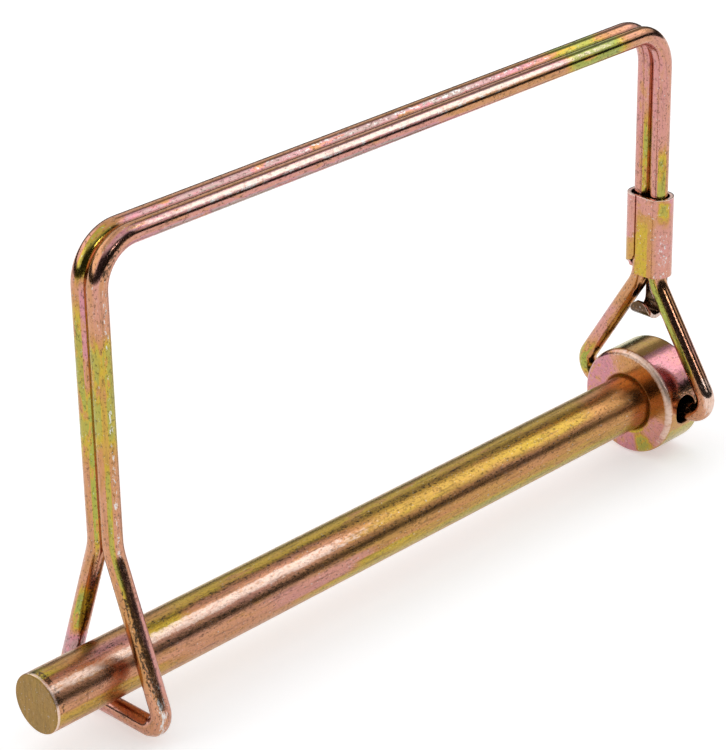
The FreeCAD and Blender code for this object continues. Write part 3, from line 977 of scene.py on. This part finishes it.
@dataclass
class Bail:
    """The wire, one piece from end to end: bent double, square, with a V at each side.

    Its outer side, 0 degrees round the wire, faces away from the window. 90 degrees faces away from the other
    strand.
    """

    head_corner_round: float = 2.0
    head_fork_round: float = 5.0
    top_corner_round: float = 4.6
    tip_fork_round: float = 6.0
    loop_corner_round: float = 2.0
    strand_gap: float = 0.05
    hole_end_y: float = 2.75
    head_leg_y: float = 10.39
    head_fork_z: float = 14.62
    tip_fork_z: float = 13.445
    loop_corner_y: float = 7.61
    flex_drop: float = 1.5
    flex_slant: float = 6.25
    run_step: float = 0.8
    arc_step: float = 4.0
    around: int = 40
    wire_radius: float = field(init=False)
    hinge: np.ndarray = field(init=False)
    top_z: float = field(init=False)
    tip_side_x: float = field(init=False)
    bottom_z: float = field(init=False)

    def __post_init__(self) -> None:
        """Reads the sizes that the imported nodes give."""
        loop_low, loop_high = node_box("tip_loop")
        self.wire_radius = float(loop_high[0] - loop_low[0]) / 2
        self.hinge = joint_place("bail_swing")
        self.top_z = float(node_box("bail_strand_left")[1][2]) - self.wire_radius
        self.tip_side_x = float(loop_high[0] + loop_low[0]) / 2
        self.bottom_z = float(loop_low[2]) + self.wire_radius

    @property
    def half_pitch(self) -> float:
        """From the bail's middle plane to a strand's centre."""
        return self.wire_radius + self.strand_gap / 2

    def _strand(self) -> tuple[list[tuple[float, float, float]], list[float]]:
        """Corner points and radii of one strand, from its end in the head to the loop's foot."""
        x, z = float(self.hinge[0]), float(self.hinge[2])
        pitch, tip = self.half_pitch, self.tip_side_x
        points = [
            (x, self.hole_end_y, z),
            (x, self.head_leg_y, z),
            (x, pitch, self.head_fork_z),
            (x, pitch, self.top_z),
            (tip, pitch, self.top_z),
            (tip, pitch, self.tip_fork_z),
            (tip, self.loop_corner_y, self.bottom_z),
        ]
        radii = [
            self.head_corner_round,
            self.head_fork_round,
            self.top_corner_round,
            self.top_corner_round,
            self.tip_fork_round,
            self.loop_corner_round,
        ]
        return points, radii

    def _centreline(self) -> np.ndarray:
        """Points along the whole wire: the strand at +Y, the loop's foot, and the strand at -Y."""
        points, radii = self._strand()
        mirrored = [(x, -y, z) for x, y, z in reversed(points)]
        return Route(np.array(points + mirrored), radii + radii[::-1]).sample(self.run_step, self.arc_step)

    def _outward(self, centreline: np.ndarray) -> np.ndarray:
        """Unit vectors away from the window's rectangle, less its corner radius."""
        low = self.tip_side_x + self.top_corner_round
        high = float(self.hinge[0]) - self.top_corner_round
        away = np.zeros_like(centreline)
        away[:, 0] = centreline[:, 0] - np.clip(centreline[:, 0], low, high)
        away[:, 2] = (centreline[:, 2] - (self.top_z - self.top_corner_round)).clip(0.0)
        return away / np.linalg.norm(away, axis=1, keepdims=True)

    def _surface(self) -> Grid:
        """The tube: centre + r (cos t * outward + sin t * across), with across = travel x outward."""
        centreline = self._centreline()
        along = lengths_along(centreline)
        travel = np.gradient(centreline, along, axis=0)
        travel /= np.linalg.norm(travel, axis=1, keepdims=True)
        outward = self._outward(centreline)
        across = np.cross(travel, outward)
        across /= np.linalg.norm(across, axis=1, keepdims=True)
        angles = np.linspace(0.0, math.tau, self.around, endpoint=False)
        cosine, sine = np.cos(angles)[:, None], np.sin(angles)[:, None]
        ring = cosine * outward[:, None] + sine * across[:, None]
        points = centreline[:, None] + self.wire_radius * ring
        surface_map = lattice(along[:, None], np.linspace(0.0, 1.0, self.around + 1))
        return Grid(points, surface_map, closed=True, capped=True)

    def build(self) -> None:
        """Makes and dresses the wire.
        """
        surface = self._surface()
        wire = mesh_object("bail_wire", surface)
        wire.data.materials.append(self._finish(float(surface.surface_map[-1, 0, 0])).material())
        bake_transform(wire)
        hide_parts("bail_strand_left", "bail_strand_right", "tip_loop")
        LOG.info("bail: wire built")

    def _finish(self, length: float) -> Plating:
        """Pink, olive and copper by turns along the wire, rubbed at the loop's bends.

        Args:
            length: The whole wire's length in millimetres. The second strand is measured back from it.

        Returns:
            The wire's plating.
        """
        foot = (Film.PINK, length / 2, 7.0, 0.0, 180.0)
        second = [(film, length - along, *patch) for film, along, *patch in SECOND_STRAND_HUES]
        return Plating(
            name="wire plating",
            mapping=Mapping.SURFACE,
            film=Film.SALMON,
            girth=self.wire_radius,
            hues=hues(*FIRST_STRAND_HUES, foot, *second),
            worn=(
                Patch(length - 187.0, 2.2, 60.0, 60.0),
                Patch(length - 180.0, 4.5, 66.0, 26.0, weight=1.1),
                Patch(length - 155.0, 12.0, 82.0, 14.0),
                Patch(length - 138.0, 4.0, 88.0, 14.0),
                Patch(90.0, 26.0, 325.0, 16.0),
                Patch(length - 100.0, 30.0, 60.0, 12.0),
            ),
            # A pale patch at the head's corner, and a painted highlight along the near strand's top run.
            bright=(
                Patch(length - 8.0, 2.0, 90.0, 60.0),
                Patch(length - 96.0, 36.0, 44.0, 14.0),
            ),
            # Painted shade on the far legs and on the near strand's top corner, and a painted dark reflection
            # down the near leg at the tip.
            grime_and_painted_shade=(
                Patch(length - 172.0, 7.0, 44.0, 18.0),
                Patch(172.0, 10.0, 285.0, 24.0),
                Patch(20.0, 8.0, 285.0, 34.0),
                Patch(length - 132.5, 2.0, 75.0, 30.0),
            ),
            drift=0.22,
            stretch=8.0,
            roughness=0.14,
            grain_depth=0.007,
            streaks=0.3,
        )


@dataclass
class Clip:
    """The sheet folded round both strands, with a tongue hooked under their fork."""

    sheet: float = 0.45
    wrap_height: float = 9.6
    flap_proud: float = 0.12
    seam_y: float = 0.86
    seam_lap: float = 0.06
    crease_y: float = -1.62
    side_bend_x: float = -0.35
    bend_radii: tuple[float, ...] = (0.25, 1.3, 1.35, 1.4, 1.3)
    flap_rise: float = 1.8
    flap_corner: float = 0.5
    rows: int = 37
    tongue_half_width: float = 1.4
    tongue_proud: float = 0.012
    tongue_lap: float = 0.6
    tongue_columns: int = 17
    hook_lip: float = 0.4
    broken_edge: float = 0.07
    centre_x: float = field(init=False)
    top_z: float = field(init=False)
    hook_z: float = field(init=False)
    half_depth: float = field(init=False)
    half_width: float = field(init=False)

    def __post_init__(self) -> None:
        """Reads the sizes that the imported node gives."""
        low, high = node_box("strand_clip")
        self.centre_x = float(high[0] + low[0]) / 2
        self.top_z = float(high[2])
        self.half_depth = float(high[0] - low[0]) / 2 - self.sheet / 2
        self.half_width = float(high[1] - low[1]) / 2 - self.sheet / 2
        self.hook_z = float(low[2]) + self.half_depth + self.sheet / 2

    def _wrap(self) -> Grid:
        """The wrap: an outline round both strands, carried from the lower edge to the upper.

        The outline starts at the seam and goes round by the crease, so the flap comes last. Its lower edge
        climbs with the root of the distance past the flap's fold.
        """
        depth, width = self.half_depth, self.half_width
        corners = np.array([
            (-depth, self.seam_y - self.seam_lap, 0.0),
            (-depth, self.crease_y, 0.0),
            (self.side_bend_x, -width, 0.0),
            (depth, -width, 0.0),
            (depth, width, 0.0),
            (-depth - self.flap_proud, width, 0.0),
            (-depth - self.flap_proud, self.seam_y, 0.0),
        ])
        outline = Route(corners, self.bend_radii).sample(SHEET_RUN_STEP, 10.0)
        along = lengths_along(outline)
        rise = np.linspace(0.0, 1.0, self.rows)[:, None]
        on_flap = (outline[:, 0] < 0.0) & (outline[:, 1] > self.seam_y - 0.01)
        past = np.where(on_flap, along - along[on_flap].min(), 0.0)
        reach = past.max()
        foot = self.flap_rise * (past / reach).clip(0.0, 1.0) ** 0.5
        into_corner = ((past - (reach - self.flap_corner)) / self.flap_corner).clip(0.0, 1.0)
        corner = (1.0 - (1.0 - into_corner**2) ** 0.5) * self.flap_corner
        low_z = self.top_z - self.wrap_height + foot + corner
        z = low_z + rise * (self.top_z - low_z)
        return Grid(lattice(self.centre_x + outline[:, 0], outline[:, 1], z), lattice(z, along / along[-1]))

    def _tongue(self) -> Grid:
        """The tongue: down the back, round under the fork and up to its rounded end."""
        depth = self.half_depth + self.tongue_proud
        path = Route(
            np.array([
                (depth, 0.0, self.top_z - self.wrap_height + self.tongue_lap),
                (depth, 0.0, self.hook_z - depth),
                (-depth, 0.0, self.hook_z - depth),
                (-depth, 0.0, self.hook_z + self.hook_lip),
            ]),
            [depth - 0.01] * 2,
        ).sample(SHEET_RUN_STEP, 7.0)
        along = lengths_along(path)
        left = (along[-1] - along).clip(0.0, self.tongue_half_width) / self.tongue_half_width
        half = self.tongue_half_width * np.sqrt(1.0 - (1.0 - left) ** 2).clip(0.3)
        across = np.linspace(-1.0, 1.0, self.tongue_columns)
        points = lattice(self.centre_x + path[:, :1], half[:, None] * across, path[:, 2:])
        return Grid(points, lattice(along[:, None], across / 10 + 0.5))

    def _thicken(self, piece: bpy.types.Object) -> None:
        """Gives a sheet its thickness and breaks its edges."""
        solid = piece.modifiers.new("sheet", "SOLIDIFY")
        solid.thickness = self.sheet / METRE
        solid.offset = 0.0
        solid.use_even_offset = True
        bevel = piece.modifiers.new("edges", "BEVEL")
        bevel.width = self.broken_edge / METRE
        bevel.segments = 2
        bevel.limit_method = "ANGLE"
        bevel.angle_limit = math.radians(50.0)

    def build(self) -> None:
        """Makes and dresses the wrap and its tongue."""
        for name, grid, finish in (
            ("clip_wrap", self._wrap(), self._wrap_finish()),
            ("clip_tongue", self._tongue(), self._tongue_finish()),
        ):
            piece = mesh_object(name, grid)
            self._thicken(piece)
            piece.data.materials.append(finish.material())
            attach(piece, "clip")
            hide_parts("strand_clip")
        LOG.info("clip: wrap and tongue built")

    def _wrap_finish(self) -> Plating:
        """Pink at the top of the panel and golden below it, olive and pink with flecks past the crease."""
        top, foot = self.top_z, self.top_z - self.wrap_height
        return Plating(
            name="clip plating",
            mapping=Mapping.SURFACE,
            film=Film.PINK,
            girth=1.9,
            hues=hues(
                (Film.PINK, top, 3.0, 28.0, 40.0),
                (Film.COPPER, top - 3.5, 1.4, 28.0, 40.0),
                (Film.YELLOW, foot + 2.4, 4.2, 28.0, 30.0),
                (Film.COPPER, foot + 2.0, 4.0, 56.0, 9.0),
                (Film.OLIVE, top - 2.0, 2.2, 92.0, 13.0, 1.7),
                (Film.SALMON, foot + 3.5, 3.0, 70.0, 8.0),
                (Film.PINK, foot + 3.0, 4.0, 95.0, 26.0),
                (Film.PINK, top - 2.0, 3.0, 335.0, 26.0),
                (Film.GOLD, foot + 2.4, 1.8, 335.0, 26.0),
            ),
            worn=(Patch(foot + 3.6, 2.6, 92.0, 14.0), Patch(foot + 0.3, 0.6, 88.0, 24.0)),
            bright=(Patch(top, 0.1, fade=0.3),),
            drift=0.14,
            stretch=1.5,
            roughness=0.18,
            grain_depth=0.006,
            streaks=0.1,
            pitting=0.35,
            flecks=0.7,
        )

    def _tongue_finish(self) -> Plating:
        """Copper under speckled painted shade, as the curl lies under the fork, bright along its cut edges."""
        return Plating(
            name="tongue plating",
            mapping=Mapping.SURFACE,
            film=Film.COPPER,
            girth=1.9,
            # Painted shade, speckled over the whole tongue.
            grime_and_painted_shade=(Patch(6.0, 7.0, weight=1.5),),
            bright=(Patch(7.5, 5.0, 144.0, 2.0), Patch(7.5, 5.0, 216.0, 2.0)),
            drift=0.3,
            stretch=1.5,
            roughness=0.18,
            grain_depth=0.006,
        )


# ---- Studio ----

@dataclass(frozen=True)
class Camera:
    """Where the camera stands: round and above the point it looks at, with a slight roll."""

    azimuth: float = -45.3
    elevation: float = 25.74
    roll: float = 1.05
    distance: float = 296.2
    target: tuple[float, float, float] = (-42.9, 0.5, 18.6)
    focal_length: float = 137.1

    def build(self) -> None:
        """Makes the scene's camera."""
        around, above = math.radians(self.azimuth), math.radians(self.elevation)
        level = math.cos(above)
        back = Vector((math.sin(around) * level, -math.cos(around) * level, math.sin(above)))
        data = bpy.data.cameras.new("camera")
        data.lens = self.focal_length
        data.clip_start, data.clip_end = 0.01, 10.0
        camera = placed("camera", data)
        turn = (-back).to_track_quat("-Z", "Y").to_matrix().to_4x4()
        place = Matrix.Translation((Vector(self.target) + back * self.distance) / METRE)
        camera.matrix_world = place @ turn @ Matrix.Rotation(math.radians(-self.roll), 4, "Z")
        bpy.context.scene.camera = camera


@dataclass(frozen=True)
class Softbox:
    """A bright panel of the surround: its bearing and half width in degrees, its foot and top as sines."""

    bearing: float
    half_width: float
    foot: float
    top: float
    strength: float


@dataclass(frozen=True)
class Screen:
    """A dark part of the surround. It is full below one sine of the height and gone above another."""

    bearing: float
    half_width: float
    gone_above: float
    full_below: float
    depth: float = 1.0


@dataclass(frozen=True)
class Studio:
    """A white floor in a pale surround that is dark above the horizon, with softboxes for the highlights."""

    floor_reach: float = 900.0
    floor_spokes: int = 96
    floor_gap: float = 0.05
    floor_glow: float = 0.46
    mirrored_glow: float = 0.42
    surround: float = 0.85
    darkness: float = 0.025
    dark_band: tuple[float, float] = (0.22, 0.36)
    soft_degrees: float = 2.0
    soft_height: float = 0.015
    dim_side: Screen = Screen(-111.0, 58.0, 0.90, 0.62)
    dark_bar: Screen = Screen(23.0, 11.0, 0.90, 0.80, depth=0.7)
    softboxes: tuple[Softbox, ...] = (
        Softbox(-18.0, 24.0, 0.50, 0.79, 1.8),
        Softbox(132.0, 44.0, 0.25, 0.76, 1.5),
        Softbox(-94.0, 8.0, 0.485, 0.56, 8.0),
    )

    def build(self) -> None:
        """Makes the floor and the surround."""
        bpy.context.scene.view_settings.view_transform = "Standard"
        floor = self._floor()
        low, high = node_box("bail_strand_left")
        self._give_way(floor, "bail", (float(node_box("tip_loop")[0][0]), 0.0, float(high[2])))
        self._give_way(floor, "bail", (float(high[0]), 0.0, float(high[2])))
        self._give_way(floor, "loop", tuple(node_box("tip_loop")[0]))
        self._world()

    @staticmethod
    def _give_way(floor: bpy.types.Object, body: str, corner: tuple[float, float, float]) -> None:
        """Lets the floor sink under an outer corner of a body that swings below it.

        Args:
            floor: The floor.
            body: The body.
            corner: The corner's place at rest in millimetres.
        """
        carrier = frame["bodies"][body]
        mark = placed(f"{body}_corner", None)
        mark.parent = carrier
        mark.matrix_parent_inverse = carrier.matrix_world.inverted()
        mark.location = Vector(corner) / METRE
        rule = floor.constraints.new("FLOOR")
        rule.target = mark
        rule.floor_location = "FLOOR_NEGATIVE_Z"

    def _floor(self) -> bpy.types.Object:
        """A round floor under the lowest point of the object: white paper that glows a little."""
        low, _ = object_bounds()
        ring = np.linspace(0.0, math.tau, self.floor_spokes, endpoint=False)
        radii = np.array([[0.001], [self.floor_reach]])
        points = lattice(radii * np.cos(ring), radii * np.sin(ring), 0.0)
        floor = mesh_object("floor", Grid(points, np.zeros((2, self.floor_spokes + 1, 2)), closed=True))
        floor.location.z = low[2] - self.floor_gap / METRE
        floor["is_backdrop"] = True
        made = bpy.data.materials.new("floor")
        made.use_nodes = True
        graph = Graph(made.node_tree)
        paper = graph.add("BsdfDiffuse", {}, {"Color": (0.84, 0.85, 0.86, 1.0)})
        rays = ("Is Camera Ray", "Is Glossy Ray", "Is Transmission Ray")
        seen, glossy, through = (graph.add("LightPath", {}, {}, ray) for ray in rays)
        strength = seen * self.floor_glow + glossy.most(through) * self.mirrored_glow
        glow = graph.add("Emission", {}, {"Strength": strength})
        graph.output("OutputMaterial", graph.add("AddShader", {}, {0: paper, 1: glow}))
        floor.data.materials.append(made)
        return floor

    def _world(self) -> None:
        """Light by direction: white above a dark band, dim towards -Y, with softboxes and a dark bar."""
        world = bpy.data.worlds.new("surround")
        bpy.context.scene.world = world
        world.use_nodes = True
        graph = Graph(world.node_tree)
        direction = graph.add("TexCoord", {}, {}, "Generated")
        x, y, z = (graph.add("SeparateXYZ", {}, {0: direction}, axis) for axis in "XYZ")
        bearing = y.bearing(x)

        def within(panel: Softbox | Screen) -> Signal:
            """1 within a panel's half width of its bearing, and 0 past it."""
            half_width, soft = panel.half_width, self.soft_degrees
            return bearing.towards(panel.bearing, half_width + soft, half_width - soft)

        def left_by(screen: Screen) -> Signal:
            """Share of the light that a screen leaves."""
            return 1.0 - screen.depth * within(screen) * z.step(screen.gone_above, screen.full_below)

        light = self.surround * z.step(*self.dark_band) * left_by(self.dim_side)
        soft = self.soft_height
        for box in self.softboxes:
            lit = within(box) * z.step(box.foot - soft, box.foot + soft)
            lit = lit * z.step(box.top + soft, box.top - soft)
            light = light + lit * (box.strength - light)
        light = light * left_by(self.dark_bar) + self.darkness
        camera = graph.add("LightPath", {}, {}, "Is Camera Ray")
        strength = light + (1.0 - light) * camera
        background = graph.add("Background", {}, {"Color": (1.0, 1.0, 1.0, 1.0), "Strength": strength})
        graph.output("OutputWorld", background)


def corners(box: tuple[Vector, Vector]) -> list[list[float]]:
    """A box as plain lists."""
    return [list(corner) for corner in box]


def main() -> None:
    """Builds the pieces and the studio in order."""
    logging.basicConfig(level=logging.INFO, format="%(name)s: %(message)s")
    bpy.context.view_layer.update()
    Pin().build()
    Bail().build()
    Clip().build()
    Studio().build()
    Camera().build()
    bpy.context.view_layer.update()
    LOG.info("done")


if __name__ == "__main__":
    main()
